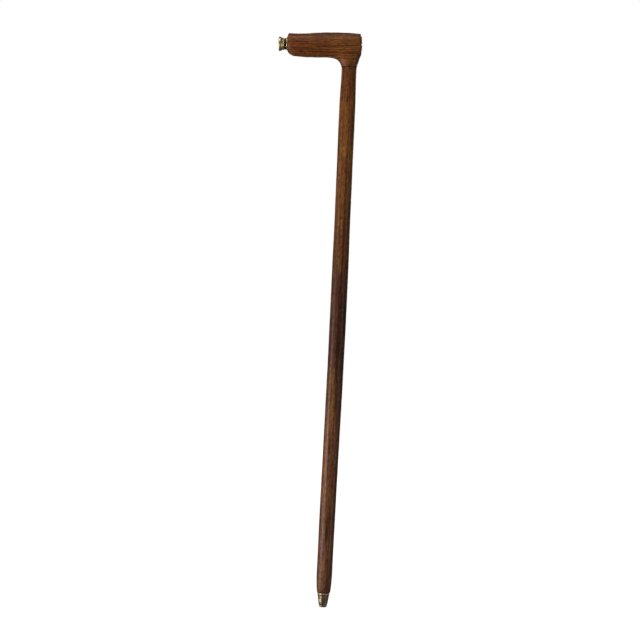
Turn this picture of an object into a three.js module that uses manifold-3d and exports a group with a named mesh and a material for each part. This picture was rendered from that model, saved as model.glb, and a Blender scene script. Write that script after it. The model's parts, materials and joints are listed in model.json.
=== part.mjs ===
// A single point walking cane in rosewood with a draw telescope hidden in its handle.
//
// Millimetres, +Z up. The origin is the centre of the steel tip's flat bottom face, and the shaft stands along
// +Z. The handle points towards -X and droops a little, so it lives in a turned frame of its own: "along" is the
// distance from the elbow towards the eyepiece, measured on the telescope's axis.

import * as THREE from "three";
import { mergeVertices } from "three/addons/utils/BufferGeometryUtils.js";
import Module from "manifold-3d";

const wasm = await Module();
wasm.setup();

// Driving dimensions.
const GAP = 0.3; // between pieces that touch in the real cane
const RUNNING = 0.1; // around pieces that slide or turn in each other

const ELBOW_HEIGHT = 896.6; // where the telescope's axis crosses the shaft's
const HANDLE_DROOP = THREE.MathUtils.degToRad(2.74);
const HANDLE_FRONT = 100.4; // from the elbow to the wooden face at the eyepiece
const HANDLE_BACK = 17.2; // from the elbow to the wooden face at the objective
const HANDLE_HALF_WIDTH = 15.5;
const SECTION_POWER = 2.25; // 2 is an ellipse, and more is squarer

const SEAM_HEIGHT = 858.9; // where the handle's neck meets the shaft
const SHAFT_BOW = 1.7; // how far the shaft's middle stands towards +X
const SHOULDER_HEIGHT = 22.5; // where the shaft steps down to its tenon
const TENON_TOP_RADIUS = 7.1;
const TENON_FOOT_RADIUS = 5.4;
const TENON_FOOT_HEIGHT = 6.4;

const FERRULE_FOOT = 4.2;
const FERRULE_TOP = 20.1;
const RING_HEIGHT = 1.8;
const TIP_FACE_RADIUS = 4.6;
const TIP_SHANK_RADIUS = 2;
const TIP_SHANK_TOP = 26;
const TIP_SHANK_POINT = 3.9; // length of the shank's point

const STUD_RADIUS = 4;
const STUD_THREAD_DEPTH = 0.55;
const STUD_PITCH = 3.5;
const STUD_DEPTH_IN_SHAFT = 33;
const STUD_DEPTH_IN_HANDLE = 22;

const MAIN_RADIUS = 10.3; // the fixed brass tube that lines the handle's bore
const MAIN_BORE = 9.7;
const MAIN_BACK = -14.5;
const MAIN_FRONT = 98;

const DRAW_RADIUS = 9; // the brass tube that slides out
const DRAW_BORE = 8.4;
const DRAW_BACK = 4;
const END_RING_BACK = DRAW_BACK - 7; // the ring that ends the draw tube, with its groove
const GROOVE_BACK = DRAW_BACK - 4;
const SPIGOT_LENGTH = 8; // how far a piece that screws into the draw tube reaches into it
const SPIGOT_RADIUS = DRAW_BORE - GAP;

const COLLAR_FRONT = 101.8;
const COLLAR_SKIRT_BACK = 88;
const EYEPIECE_BACK = 105;
const EYEPIECE_FRONT = 113.9;
const OBJECTIVE_FRONT = -18.8; // the bezel's outer face
const BEZEL_RADIUS = 12;
const ERECTOR_BACK = -5;
const ERECTOR_FRONT = 34;

const FINE = 36; // sides of what shows or runs
const PLAIN = 20; // sides of what is hidden

// Materials.
const finish = (color, roughness, metalness) =>
  new THREE.MeshStandardMaterial({ color, roughness, metalness });
const rosewood = finish(0x6b3f22, 0.45, 0);
const agedBrass = finish(0x8a7a48, 0.38, 1);
const innerBrass = finish(0xa88c4c, 0.45, 1);
const paleBrass = finish(0xb49c7c, 0.3, 1);
const steel = finish(0x6c6a66, 0.4, 1);
const glass = finish(0xdfe8e6, 0.05, 0);

// The cane's frame, the handle's turned frame, and the telescope's, whose +Z points out of the eyepiece.
const cane = new THREE.Group();
const telescope = new THREE.Group();
telescope.position.z = ELBOW_HEIGHT;
telescope.rotation.y = -Math.PI / 2 - HANDLE_DROOP;
cane.add(telescope);

function place(group, name, geometry, material) {
  const mesh = new THREE.Mesh(geometry, material);
  mesh.name = name;
  group.add(mesh);
}

// A piece turned about +Z from an outline of [radius, height] pairs. The outline runs anticlockwise, with the
// material on its left, and either starts and ends on the axis or closes on itself.
function turned(outline, sides) {
  const points = outline.map(([radius, height]) => new THREE.Vector2(radius, height));
  return new THREE.LatheGeometry(points, sides).rotateX(Math.PI / 2);
}

// A ring or tube with square ends.
function sleeve(bore, radius, low, high, sides) {
  return turned([[bore, low], [radius, low], [radius, high], [bore, high], [bore, low]], sides);
}

// Heights and radii of one face of a lens, from its rim to the axis, as a shallow arc.
function lensFace(radius, rimHeight, bulge, steps = 4) {
  return Array.from({ length: steps + 1 }, (_, i) => {
    const r = radius * (1 - i / steps);
    return [r, rimHeight + bulge * (1 - (r / radius) ** 2)];
  });
}

function lens(radius, low, high, bulge, sides) {
  const lower = lensFace(radius, low, -bulge).reverse();
  return turned([...lower, ...lensFace(radius, high, bulge)], sides);
}

// A closed skin over rings of points that all have the same count, with a flat cap at each end.
function loft(rings) {
  const count = rings[0].length;
  const positions = rings.flat().flatMap((p) => p.toArray());
  const indices = [];
  for (let i = 0; i + 1 < rings.length; i++)
    for (let j = 0; j < count; j++) {
      const a = i * count + j;
      const b = i * count + ((j + 1) % count);
      indices.push(a, b, b + count, a, b + count, a + count);
    }
  const last = (rings.length - 1) * count;
  for (let j = 1; j + 1 < count; j++) {
    indices.push(0, j + 1, j);
    indices.push(last, last + j, last + j + 1);
  }
  const geometry = new THREE.BufferGeometry();
  geometry.setAttribute("position", new THREE.Float32BufferAttribute(positions, 3));
  geometry.setIndex(indices);
  return geometry;
}

function solid(geometry) {
  const plain = geometry.clone();
  plain.deleteAttribute("normal");
  plain.deleteAttribute("uv");
  const merged = mergeVertices(plain, 1e-3);
  const vertProperties = merged.attributes.position.array;
  const triVerts = new Uint32Array(merged.index.array);
  return new wasm.Manifold(new wasm.Mesh({ numProp: 3, vertProperties, triVerts }));
}

function geometryOf(manifold) {
  const mesh = manifold.getMesh();
  const geometry = new THREE.BufferGeometry();
  geometry.setAttribute("position", new THREE.BufferAttribute(mesh.vertProperties, 3));
  geometry.setIndex(new THREE.BufferAttribute(mesh.triVerts, 1));
  return geometry;
}

const cut = (geometry, ...tools) =>
  geometryOf(tools.reduce((left, tool) => left.subtract(solid(tool)), solid(geometry)));

// A cylinder along +Z between two heights, for cutting.
function drill(radius, low, high, sides) {
  const length = high - low;
  const bit = new THREE.CylinderGeometry(radius, radius, length, sides);
  return bit.rotateX(Math.PI / 2).translate(0, 0, low + length / 2);
}

// A smooth value read off a curve through [position, value] pairs.
function curveThrough(pairs) {
  const spline = new THREE.SplineCurve(pairs.map(([at, value]) => new THREE.Vector2(at, value)));
  const samples = spline.getPoints(20 * pairs.length);
  return (at) => {
    const i = Math.max(1, samples.findIndex((p) => p.x >= at));
    const [before, after] = at >= samples.at(-1).x ? samples.slice(-2) : [samples[i - 1], samples[i]];
    const share = THREE.MathUtils.clamp((at - before.x) / (after.x - before.x), 0, 1);
    return THREE.MathUtils.lerp(before.y, after.y, share);
  };
}

// 0 at an end of the handle and 1 once "length" has gone by, rounded as a shoulder is.
function shoulder(distance, length, power) {
  const left = 1 - THREE.MathUtils.clamp(distance / length, 0, 1);
  return (1 - left ** power) ** (1 / power);
}

// The shaft: a turned taper with a slight bow, a tenon for the ferrule and a hole for the stud.
const shaftRadius = curveThrough([
  [SHOULDER_HEIGHT, 10.0], [28, 10.95], [41, 11.9], [58, 12.35], [95, 12.35], [160, 12.65], [230, 12.65],
  [330, 12.95], [520, 13.0], [610, 12.6], [700, 12.7], [800, 12.8], [845, 11.95], [SEAM_HEIGHT, 12.1],
]);

function bowAt(height) {
  const share = THREE.MathUtils.clamp((height - 60) / (SEAM_HEIGHT - 60), 0, 1);
  return SHAFT_BOW * Math.sin(Math.PI * share) ** 2;
}

function buildShaft() {
  const top = SEAM_HEIGHT - GAP;
  const chamfer = 0.5;
  const heights = [
    SHOULDER_HEIGHT + 0.6, 25.5, 29, 34, 41, 50, 62, 80, 100, 130, 160, 195, 230, 280, 330, 390, 455, 520,
    565, 610, 655, 700, 735, 770, 800, 822, 838, 850, top - chamfer,
  ];
  const outline = [
    [0, TENON_FOOT_HEIGHT],
    [TENON_FOOT_RADIUS, TENON_FOOT_HEIGHT],
    [TENON_TOP_RADIUS, SHOULDER_HEIGHT],
    [shaftRadius(SHOULDER_HEIGHT) - 0.4, SHOULDER_HEIGHT],
    ...heights.map((height) => [shaftRadius(height), height]),
    [shaftRadius(top) - chamfer, top],
    [0, top],
  ];
  const blank = turned(outline, 24);
  const position = blank.attributes.position;
  for (let i = 0; i < position.count; i++) position.setX(i, position.getX(i) + bowAt(position.getZ(i)));
  const studHole = drill(STUD_RADIUS + GAP, top - STUD_DEPTH_IN_SHAFT - 1, top + 1, 16);
  const shankHole = drill(TIP_SHANK_RADIUS + GAP, 0, TIP_SHANK_TOP + 1, 16);
  place(cane, "shaft", cut(blank, studHole, shankHole), rosewood);
}

// The steel stud that joins handle and shaft, threaded into both.
function buildNeckStud() {
  const low = SEAM_HEIGHT - STUD_DEPTH_IN_SHAFT;
  const high = SEAM_HEIGHT + STUD_DEPTH_IN_HANDLE;
  const outline = [[0, low], [STUD_RADIUS - STUD_THREAD_DEPTH, low]];
  for (let height = low + 1; height + STUD_PITCH < high; height += STUD_PITCH)
    outline.push(
      [STUD_RADIUS - STUD_THREAD_DEPTH, height],
      [STUD_RADIUS, height + STUD_PITCH * 0.4],
      [STUD_RADIUS, height + STUD_PITCH * 0.6],
    );
  outline.push([STUD_RADIUS - STUD_THREAD_DEPTH, high], [0, high]);
  place(cane, "neck_stud", turned(outline, 12), steel);
}

// The brass ferrule cup, the pale ring above it, and the steel tip whose shank nails both to the shaft.
function buildFerrule() {
  const floor = 1.9;
  place(cane, "ferrule", turned([
    [TIP_SHANK_RADIUS + GAP, FERRULE_FOOT],
    [6.75, FERRULE_FOOT],
    [7.45, FERRULE_FOOT + 2.4],
    [8.1, 11.5],
    [8.75, 15.8],
    [9.35, FERRULE_TOP - 0.3],
    [9.1, FERRULE_TOP],
    [TENON_TOP_RADIUS + GAP, FERRULE_TOP],
    [TENON_FOOT_RADIUS + GAP, FERRULE_FOOT + floor],
    [TIP_SHANK_RADIUS + GAP, FERRULE_FOOT + floor],
    [TIP_SHANK_RADIUS + GAP, FERRULE_FOOT],
  ], FINE), agedBrass);

  const ringLow = FERRULE_TOP + GAP;
  const ringHigh = ringLow + RING_HEIGHT;
  place(cane, "ferrule_ring", turned([
    [TENON_TOP_RADIUS + GAP, ringLow],
    [9.25, ringLow],
    [9.65, ringLow + 0.4],
    [9.75, ringLow + RING_HEIGHT / 2],
    [9.65, ringHigh - 0.4],
    [9.25, ringHigh],
    [TENON_TOP_RADIUS + GAP, ringHigh],
    [TENON_TOP_RADIUS + GAP, ringLow],
  ], FINE), paleBrass);

  const tipTop = FERRULE_FOOT - GAP;
  place(cane, "steel_tip", turned([
    [0, 0],
    [TIP_FACE_RADIUS, 0],
    [5.5, 0.35],
    [6.15, 1.1],
    [6.5, 2.2],
    [6.7, tipTop],
    [TIP_SHANK_RADIUS, tipTop],
    [TIP_SHANK_RADIUS, TIP_SHANK_TOP - TIP_SHANK_POINT],
    [0, TIP_SHANK_TOP],
  ], FINE), steel);
}

// The handle's bar: a squared oval along the telescope's axis. Its outline gives the distance of the top and
// bottom edges from the axis at each place along it, before the ends are rounded.
const barTop = curveThrough([[-20, 16.0], [8, 17.9], [35, 18.4], [56, 17.7], [80, 16.5], [101, 17.2]]);
const barBottom = curveThrough([[-20, 18.8], [-5, 20.7], [20, 21.6], [60, 21.4], [80, 20.5], [101, 19.7]]);

// Its rounded ends: how far each edge draws in, over what length, and how full the rounding is.
const FRONT_TOP = { depth: 5.8, length: 2.8, power: 1.1 };
const FRONT_BOTTOM = { depth: 8.2, length: 11.5, power: 1.15 };
const FRONT_SIDE = { depth: 4.1, length: 7, power: 1.5 };
const BACK_RIM = { depth: 2.6, length: 2.5, power: 2 };
const BACK_SIDE = { depth: 2.6, length: 4, power: 2 };
const drawnIn = (edge, distance) => edge.depth * (1 - shoulder(distance, edge.length, edge.power));

// A ring of points around one section of the bar, in the telescope's frame, whose +X is the cane's up.
function barSection(along) {
  const toFront = HANDLE_FRONT - along;
  const toBack = along + HANDLE_BACK;
  const top = barTop(along) - drawnIn(FRONT_TOP, toFront) - drawnIn(BACK_RIM, toBack);
  const bottom = barBottom(along) - drawnIn(FRONT_BOTTOM, toFront) - drawnIn(BACK_RIM, toBack);
  const halfWidth = HANDLE_HALF_WIDTH - drawnIn(FRONT_SIDE, toFront) - drawnIn(BACK_SIDE, toBack);
  const middle = (top - bottom) / 2;
  const halfHeight = (bottom + top) / 2;
  const count = 32;
  return Array.from({ length: count }, (_, i) => {
    const angle = (2 * Math.PI * i) / count;
    const squared = (value) => Math.sign(value) * Math.abs(value) ** (2 / SECTION_POWER);
    return new THREE.Vector3(
      middle + halfHeight * squared(Math.cos(angle)),
      halfWidth * squared(Math.sin(angle)),
      along,
    );
  });
}

// The handle's neck: level egg-shaped sections around the shaft's axis. The inner side sweeps out along a
// large arc until it meets the bar's underside, and the outer side opens to the bar's back end.
const NECK_ARC = 18.5;
const NECK_ARC_START = SEAM_HEIGHT - 3.4;
const NECK_RADIUS = 12.1;
const neckOuter = curveThrough([
  [855, NECK_RADIUS], [SEAM_HEIGHT, 12.3], [864, 13.3], [870, 15.7], [875, 16.5], [892, 16.6],
]);
const neckHalfWidth = curveThrough([
  [855, NECK_RADIUS], [SEAM_HEIGHT, 12.4], [868, 13.2], [878, 14.3], [892, 14.9],
]);

function neckSection(height) {
  const rise = Math.min(height - NECK_ARC_START, NECK_ARC - 0.4);
  const inner = NECK_RADIUS + NECK_ARC - Math.sqrt(NECK_ARC ** 2 - rise ** 2);
  const count = 28;
  return Array.from({ length: count }, (_, i) => {
    const angle = (2 * Math.PI * i) / count;
    const reach = Math.cos(angle) > 0 ? neckOuter(height) : inner;
    return new THREE.Vector3(reach * Math.cos(angle), neckHalfWidth(height) * Math.sin(angle), height);
  });
}

function buildHandle() {
  const stations = [
    -HANDLE_BACK, -17, -16.5, -15.8, -14.7, -13, 0, 15, 30, 45, 60, 72, 82, 89, 92, 95, 97, 98.2, 99.2, 99.9,
    HANDLE_FRONT,
  ];
  const levels = [SEAM_HEIGHT + GAP, 862, 865.5, 868.5, 870.7, 872.3, 873.6, 878, 884, 890];
  telescope.updateMatrixWorld(true);
  const bar = solid(loft(stations.map(barSection)).applyMatrix4(telescope.matrixWorld));
  const neck = solid(loft(levels.map(neckSection)));
  const bore = drill(MAIN_RADIUS + GAP, -HANDLE_BACK - 5, HANDLE_FRONT + 5, FINE);
  const studHole = drill(STUD_RADIUS + GAP, SEAM_HEIGHT - 2, SEAM_HEIGHT + STUD_DEPTH_IN_HANDLE + 1, 16);
  const holes = solid(bore.applyMatrix4(telescope.matrixWorld)).add(solid(studHole));
  place(cane, "handle", geometryOf(bar.add(neck).subtract(holes)), rosewood);
}

// The fixed tube, the slotted collar that guides the draw tube, and the objective at the far end.
function buildFixedTube() {
  place(telescope, "main_tube", sleeve(MAIN_BORE, MAIN_RADIUS, MAIN_BACK, MAIN_FRONT, FINE), innerBrass);

  const skirtRadius = MAIN_BORE - 0.2;
  const guideBore = DRAW_RADIUS + RUNNING;
  const collar = turned([
    [guideBore, COLLAR_SKIRT_BACK],
    [skirtRadius, COLLAR_SKIRT_BACK],
    [skirtRadius, MAIN_FRONT + GAP],
    [MAIN_RADIUS, MAIN_FRONT + GAP],
    [MAIN_RADIUS, COLLAR_FRONT - 0.5],
    [MAIN_RADIUS - 0.4, COLLAR_FRONT],
    [guideBore, COLLAR_FRONT],
    [guideBore, COLLAR_SKIRT_BACK],
  ], FINE);
  const slotLength = MAIN_FRONT - COLLAR_SKIRT_BACK - 1;
  const slots = [0, 1].map((turn) =>
    new THREE.BoxGeometry(4 * MAIN_RADIUS, 1, slotLength)
      .rotateZ((turn + 0.5) * (Math.PI / 2))
      .translate(0, 0, COLLAR_SKIRT_BACK - 0.5 + slotLength / 2));
  place(telescope, "guide_collar", cut(collar, ...slots), agedBrass);

  const seat = 8.5;
  const lip = 7.6;
  const skirtFront = MAIN_BACK + 5.5;
  place(telescope, "objective_bezel", turned([
    [lip, OBJECTIVE_FRONT + 0.3],
    [lip + 0.4, OBJECTIVE_FRONT],
    [BEZEL_RADIUS - 2.4, OBJECTIVE_FRONT],
    [BEZEL_RADIUS - 0.9, OBJECTIVE_FRONT + 0.25],
    [BEZEL_RADIUS - 0.2, OBJECTIVE_FRONT + 0.7],
    [BEZEL_RADIUS, -HANDLE_BACK - GAP],
    [MAIN_RADIUS, -HANDLE_BACK - GAP],
    [MAIN_RADIUS, MAIN_BACK - GAP],
    [skirtRadius, MAIN_BACK - GAP],
    [skirtRadius, skirtFront],
    [seat, skirtFront],
    [seat, OBJECTIVE_FRONT + 1.3],
    [lip, OBJECTIVE_FRONT + 1],
    [lip, OBJECTIVE_FRONT + 0.3],
  ], FINE), agedBrass);
  const lensLow = OBJECTIVE_FRONT + 2.7;
  const lensHigh = lensLow + 1.6;
  place(telescope, "objective_lens", lens(seat - GAP, lensLow, lensHigh, 1.1, PLAIN), glass);
  const ringLow = lensHigh + GAP;
  place(telescope, "objective_ring", sleeve(lip, seat - GAP, ringLow, ringLow + 2.6, PLAIN), innerBrass);
}

// The sliding tube with the ring that ends it. A split spring ring sits in the groove between the two, rubs
// on the fixed tube and stops against the collar.
function buildDraw() {
  const tube = sleeve(DRAW_BORE, DRAW_RADIUS, DRAW_BACK, EYEPIECE_BACK - GAP, FINE);
  place(telescope, "draw_tube", tube, agedBrass);

  const bore = 7.6;
  const groove = 8.5;
  const flange = MAIN_BORE - 0.2;
  place(telescope, "draw_end_ring", turned([
    [bore, END_RING_BACK],
    [flange, END_RING_BACK],
    [flange, GROOVE_BACK],
    [groove, GROOVE_BACK],
    [groove, DRAW_BACK - GAP],
    [SPIGOT_RADIUS, DRAW_BACK - GAP],
    [SPIGOT_RADIUS, DRAW_BACK + SPIGOT_LENGTH],
    [bore, DRAW_BACK + SPIGOT_LENGTH],
    [bore, END_RING_BACK],
  ], PLAIN), innerBrass);

  const springLow = GROOVE_BACK + 0.2;
  const springHigh = DRAW_BACK - 0.2;
  const spring = sleeve(groove + RUNNING, MAIN_BORE - RUNNING, springLow, springHigh, FINE);
  const split = new THREE.BoxGeometry(6, 1, 8).translate(MAIN_BORE, 0, (springLow + springHigh) / 2);
  place(telescope, "friction_ring", cut(spring, split), paleBrass);
}

// The flared eyepiece that screws into the draw tube, with its lens and the ring that holds the lens.
function buildEyepiece() {
  const bore = 7.1;
  const spigotBack = EYEPIECE_BACK - SPIGOT_LENGTH - 1;
  const seat = 109;
  const eyeHole = 4;
  place(telescope, "eyepiece_cup", turned([
    [bore, spigotBack],
    [SPIGOT_RADIUS, spigotBack],
    [SPIGOT_RADIUS, EYEPIECE_BACK],
    [9.5, EYEPIECE_BACK],
    [9.75, EYEPIECE_BACK + 0.4],
    [9.75, EYEPIECE_BACK + 1.6],
    [9.45, EYEPIECE_BACK + 2],
    [9.8, EYEPIECE_BACK + 3.1],
    [10.6, EYEPIECE_BACK + 4.6],
    [11.35, EYEPIECE_BACK + 5.7],
    [11.5, EYEPIECE_BACK + 6.4],
    [11.45, EYEPIECE_FRONT - 1],
    [10.9, EYEPIECE_FRONT - 0.2],
    [10.3, EYEPIECE_FRONT],
    [9.3, EYEPIECE_FRONT - 0.6],
    [7.2, EYEPIECE_FRONT - 2.4],
    [eyeHole + 0.4, EYEPIECE_FRONT - 3.1],
    [eyeHole, EYEPIECE_FRONT - 3.4],
    [eyeHole, seat],
    [bore, seat],
    [bore, spigotBack],
  ], FINE), agedBrass);
  const rim = 1.2;
  const bulge = 0.9;
  const lensHigh = seat - GAP - bulge;
  place(telescope, "eye_lens", lens(bore - GAP, lensHigh - rim, lensHigh, bulge, PLAIN), glass);
  const ringHigh = lensHigh - rim - GAP;
  place(telescope, "eye_lens_ring", sleeve(6.1, bore - GAP, ringHigh - 2.4, ringHigh, PLAIN), innerBrass);
}

// The cell at the draw tube's inner end, whose two lenses turn the image upright.
function buildErector() {
  const radius = 7.3;
  const bore = 6.7;
  const lip = 5.6;
  const stack = bore - GAP; // the radius of everything in the cell
  place(telescope, "erector_cell", turned([
    [bore, ERECTOR_BACK],
    [8.6, ERECTOR_BACK],
    [8.6, END_RING_BACK - GAP],
    [radius, END_RING_BACK - GAP],
    [radius, ERECTOR_FRONT],
    [lip, ERECTOR_FRONT],
    [lip, ERECTOR_FRONT - 1],
    [bore, ERECTOR_FRONT - 1],
    [bore, ERECTOR_BACK],
  ], PLAIN), innerBrass);

  const rim = 1.4;
  const bulge = 0.8;
  const frontHigh = ERECTOR_FRONT - 1 - GAP;
  const frontLow = frontHigh - rim;
  const backLow = ERECTOR_BACK + 3;
  const backHigh = backLow + rim;
  place(telescope, "erector_front_lens", lens(stack, frontLow, frontHigh, bulge, PLAIN), glass);
  place(telescope, "erector_back_lens", lens(stack, backLow, backHigh, bulge, PLAIN), glass);

  const spacerLow = backHigh + GAP;
  const spacerHigh = frontLow - GAP;
  const spacerBore = stack - 0.8;
  const stopLow = (spacerLow + spacerHigh) / 2;
  const stopHole = 2.4;
  place(telescope, "erector_spacer", turned([
    [spacerBore, spacerLow],
    [stack, spacerLow],
    [stack, spacerHigh],
    [spacerBore, spacerHigh],
    [spacerBore, stopLow + 0.8],
    [stopHole, stopLow + 0.8],
    [stopHole, stopLow],
    [spacerBore, stopLow],
    [spacerBore, spacerLow],
  ], PLAIN), innerBrass);
  place(telescope, "erector_ring", sleeve(lip, stack, ERECTOR_BACK + 0.5, backLow - GAP, PLAIN), innerBrass);
}

buildShaft();
buildNeckStud();
buildFerrule();
buildHandle();
buildFixedTube();
buildDraw();
buildEyepiece();
buildErector();

export default cane;
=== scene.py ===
# A rosewood walking cane with a draw telescope in its handle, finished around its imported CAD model.
#
# The CAD model gives every size and place. Turned pieces are turned again here, from the outline that their
# CAD node has, with more sides and softened edges. The handle is carved as one smooth solid, and the shaft is
# turned through the CAD shaft's own rings.

import json
import math

import bpy
import bmesh
import numpy as np
import openvdb
from mathutils import Matrix, Vector


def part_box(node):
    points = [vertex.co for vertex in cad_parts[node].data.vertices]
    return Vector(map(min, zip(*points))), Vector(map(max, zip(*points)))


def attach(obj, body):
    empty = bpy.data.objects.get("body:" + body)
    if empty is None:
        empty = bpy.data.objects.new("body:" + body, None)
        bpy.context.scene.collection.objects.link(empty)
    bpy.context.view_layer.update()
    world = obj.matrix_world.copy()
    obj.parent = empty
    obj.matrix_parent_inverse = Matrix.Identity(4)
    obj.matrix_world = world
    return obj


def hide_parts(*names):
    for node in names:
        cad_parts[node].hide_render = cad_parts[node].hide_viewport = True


MM = 0.001
TOUCHING = 0.001  # millimetres: points this close after a cut are one point

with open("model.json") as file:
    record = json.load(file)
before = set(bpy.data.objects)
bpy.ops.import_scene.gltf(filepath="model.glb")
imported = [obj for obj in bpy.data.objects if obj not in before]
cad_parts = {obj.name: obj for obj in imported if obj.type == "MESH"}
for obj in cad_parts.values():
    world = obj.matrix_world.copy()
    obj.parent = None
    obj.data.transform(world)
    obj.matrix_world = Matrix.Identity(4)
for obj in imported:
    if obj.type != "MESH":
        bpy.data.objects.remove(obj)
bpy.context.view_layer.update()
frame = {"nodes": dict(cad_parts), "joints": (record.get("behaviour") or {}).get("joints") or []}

# ----------------------------------------------------------------------------------------------------------
# The frame: the cane's own, and the telescope's, whose +Z points out of the eyepiece and whose +X is up.

joints = {joint["name"]: joint for joint in frame["joints"]}
ELBOW = Vector(joints["draw_spin"]["pos_m"])
OUT = Vector(joints["draw_spin"]["axis"]).normalized()
ACROSS = Vector((0, 1, 0))
UP = ACROSS.cross(OUT)
DROOP = math.asin(-OUT.z)

CANE = Matrix.Identity(4)
TELESCOPE = Matrix.Translation(ELBOW) @ Matrix((UP, ACROSS, OUT)).transposed().to_4x4()


def cad_points(node, place):
    """A CAD node's vertices in the given frame, in millimetres."""
    inverse = place.inverted()
    return np.array([inverse @ v.co for v in frame["nodes"][node].data.vertices]) / MM


def span(node, place):
    """The lowest and highest place of a CAD node along the frame's +Z, in millimetres."""
    heights = cad_points(node, place)[:, 2]
    return heights.min(), heights.max()


# ----------------------------------------------------------------------------------------------------------
# Meshes.


def add_object(name, data, place=CANE):
    """A new object in the scene, placed in the given frame."""
    added = bpy.data.objects.new(name, data)
    bpy.context.scene.collection.objects.link(added)
    added.matrix_world = place
    return added


def add_piece(name, points, faces, place, material, body="cane"):
    """A smooth-shaded object from points in millimetres, riding on a CAD body."""
    mesh = bpy.data.meshes.new(name)
    mesh.from_pydata((np.asarray(points) * MM).tolist(), [], [list(map(int, face)) for face in faces])
    mesh.transform(place)
    mesh.validate()
    piece = add_object(name, mesh)
    piece.data.materials.append(material)
    shade(piece)
    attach(piece, body)
    return piece


def shade(piece, crease=38):
    """Smooth shading with an edge wherever two faces meet at more than the crease, in degrees."""
    piece.data.shade_smooth()
    piece.data.set_sharp_from_angle(angle=math.radians(crease))


def stand_for(piece, node):
    """The piece replaces the CAD node, which is hidden."""
    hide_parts(node)
    return piece


def bake_modifiers(piece):
    """Gives the piece the mesh that its modifiers make, and takes them off."""
    depsgraph = bpy.context.evaluated_depsgraph_get()
    mesh = bpy.data.meshes.new_from_object(piece.evaluated_get(depsgraph))
    piece.modifiers.clear()
    piece.data = mesh


def cut_away(piece, cutter):
    """Cuts one mesh object out of another, and deletes the cutter."""
    modifier = piece.modifiers.new("cut", "BOOLEAN")
    modifier.operation = "DIFFERENCE"
    modifier.solver = "EXACT"
    modifier.object = cutter
    bpy.context.view_layer.update()
    bake_modifiers(piece)
    bpy.data.objects.remove(cutter)
    join_touching(piece)


def join_touching(piece):
    """Joins the points that a cut has left on top of each other."""
    builder = bmesh.new()
    builder.from_mesh(piece.data)
    bmesh.ops.remove_doubles(builder, verts=builder.verts, dist=TOUCHING * MM)
    builder.to_mesh(piece.data)
    builder.free()


def cutter_box(place, size, at, turn=0.0):
    """A box for cutting, its sizes and centre in millimetres, turned about the frame's +Z."""
    mesh = bpy.data.meshes.new("cutter")
    builder = bmesh.new()
    bmesh.ops.create_cube(builder, size=1)
    scale = Matrix.Diagonal((*[s * MM for s in size], 1))
    shift = Matrix.Translation([c * MM for c in at])
    bmesh.ops.transform(builder, matrix=Matrix.Rotation(turn, 4, "Z") @ shift @ scale, verts=builder.verts)
    builder.to_mesh(mesh)
    builder.free()
    return add_object("cutter", mesh, place)


def cutter_rod(place, radius, low, high, sides=96):
    """A rod along the frame's +Z for cutting, in millimetres."""
    points, faces = turned([(0, low), (radius, low), (radius, high), (0, high)], sides)
    mesh = bpy.data.meshes.new("cutter")
    mesh.from_pydata((points * MM).tolist(), [], faces)
    return add_object("cutter", mesh, place)


# ----------------------------------------------------------------------------------------------------------
# Turning.

SOFTEN_ROUNDS = 3
SHARP_BEND = math.radians(33)
ON_PLANE = 0.01  # millimetres that a point may lie off a plane or an axis and still count as on it


def outline_of(node, place, azimuth=0.0):
    """The outline that a turned CAD node has in one half-plane through its axis: its [radius, height] pairs
    in order, and whether it closes on itself."""
    points = cad_points(node, place)
    side = np.array([math.cos(azimuth), math.sin(azimuth)])
    radius = points[:, :2] @ side
    off_plane = np.abs(points[:, :2] @ np.array([-side[1], side[0]]))
    on_axis = np.hypot(points[:, 0], points[:, 1]) < ON_PLANE
    keys = {}
    for i in np.nonzero((off_plane < ON_PLANE) & ((radius > 0) | on_axis))[0]:
        keys[i] = (round(float(radius[i]), 2) + 0.0, round(float(points[i, 2]), 2) + 0.0)
    neighbours = {}
    for polygon in frame["nodes"][node].data.polygons:
        corners = list(polygon.vertices)
        for a, b in zip(corners, corners[1:] + corners[:1]):
            if a in keys and b in keys and keys[a] != keys[b]:
                neighbours.setdefault(keys[a], set()).add(keys[b])
                neighbours.setdefault(keys[b], set()).add(keys[a])
    return walk(neighbours)


def walk(neighbours):
    """Follows the points of an outline from one end to the other, or once round."""
    for key in neighbours:
        if key[0] == 0:
            neighbours[key] = {n for n in neighbours[key] if n[0] != 0}
    ends = sorted((k for k in neighbours if len(neighbours[k]) == 1), key=lambda k: k[1])
    path = [ends[0] if ends else min(neighbours)]
    while True:
        onward = sorted(neighbours[path[-1]] - set(path))
        if not onward:
            return path, not ends
        path.append(onward[0])


def soften(points, closed, edge):
    """Cuts an outline's corners again and again, so that arcs turn smooth and sharp edges get a small radius.
    edge is how far from a sharp corner its first cut is made."""
    path = [np.array(p, float) for p in points]
    for turn in range(SOFTEN_ROUNDS):
        count = len(path)
        softened = []
        for i, corner in enumerate(path):
            if not closed and i in (0, count - 1):
                softened.append(corner)
                continue
            before = path[i - 1] - corner
            after = path[(i + 1) % count] - corner
            shorter = min(np.linalg.norm(before), np.linalg.norm(after))
            bend = math.pi - math.acos(np.clip(
                before @ after / (np.linalg.norm(before) * np.linalg.norm(after)), -1, 1))
            sharp = turn == 0 and bend > SHARP_BEND
            reach = min(edge, 0.4 * shorter) if sharp else 0.25 * shorter
            softened.append(corner + before / np.linalg.norm(before) * reach)
            softened.append(corner + after / np.linalg.norm(after) * reach)
        path = softened
    return path


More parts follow.
